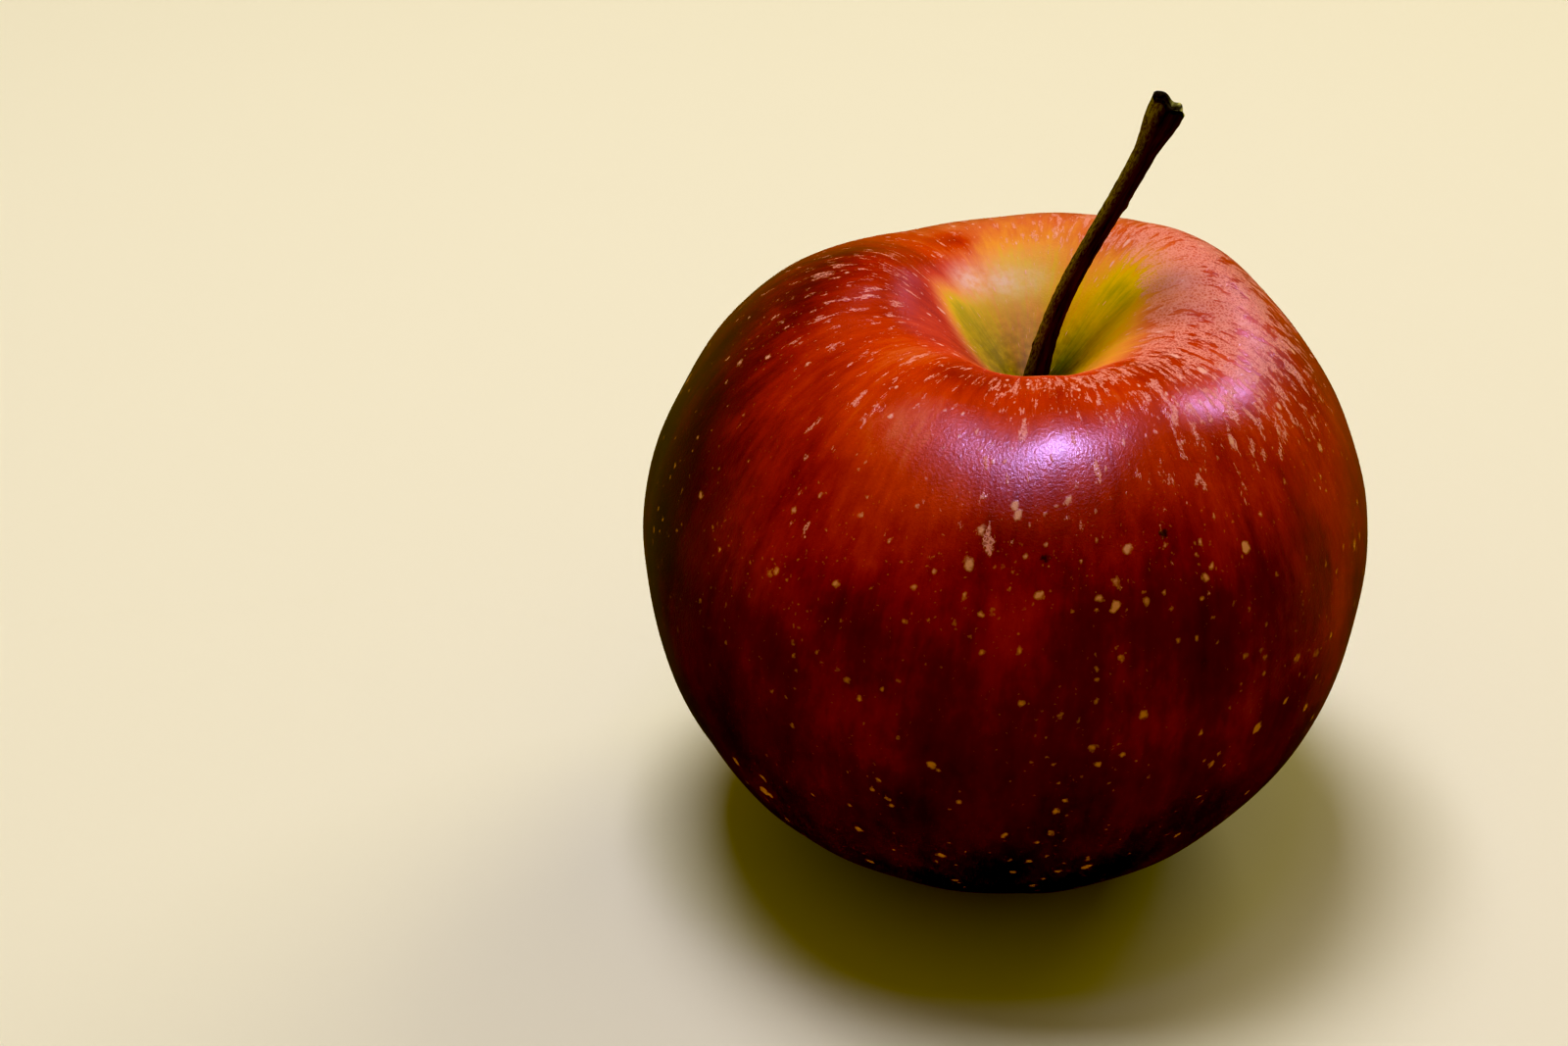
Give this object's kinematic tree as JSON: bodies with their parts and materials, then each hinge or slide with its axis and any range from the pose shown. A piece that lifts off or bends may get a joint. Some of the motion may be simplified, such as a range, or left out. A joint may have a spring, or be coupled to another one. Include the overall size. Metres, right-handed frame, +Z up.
{
  "type": "apple",
  "caption": "Ripe red apple with a leaning woody stem in its funnel-shaped cavity and a dried eye in the basin it rests on.",
  "frame": {"origin": "on the resting plane, under the middle of the fruit's box", "axes": "+Z up along the fruit's core, +X to the side that the stem leans to, +Y to the back"},
  "size_m": [0.08, 0.08, 0.0881],
  "materials": {
    "skin": "waxy skin, dark crimson over green, with pale corky dots",
    "stem_wood": "dull fibrous dark brown bark",
    "dry_sepal": "dry and downy, grey brown",
    "dry_stamens": "dry dark brown fibres"
  },
  "bodies": {
    "root": {"fruit": "skin", "stem": "stem_wood", "sepal_1": "dry_sepal", "sepal_2": "dry_sepal", "sepal_3": "dry_sepal", "sepal_4": "dry_sepal", "sepal_5": "dry_sepal", "stamen_tuft": "dry_stamens"}
  },
  "joints": []
}
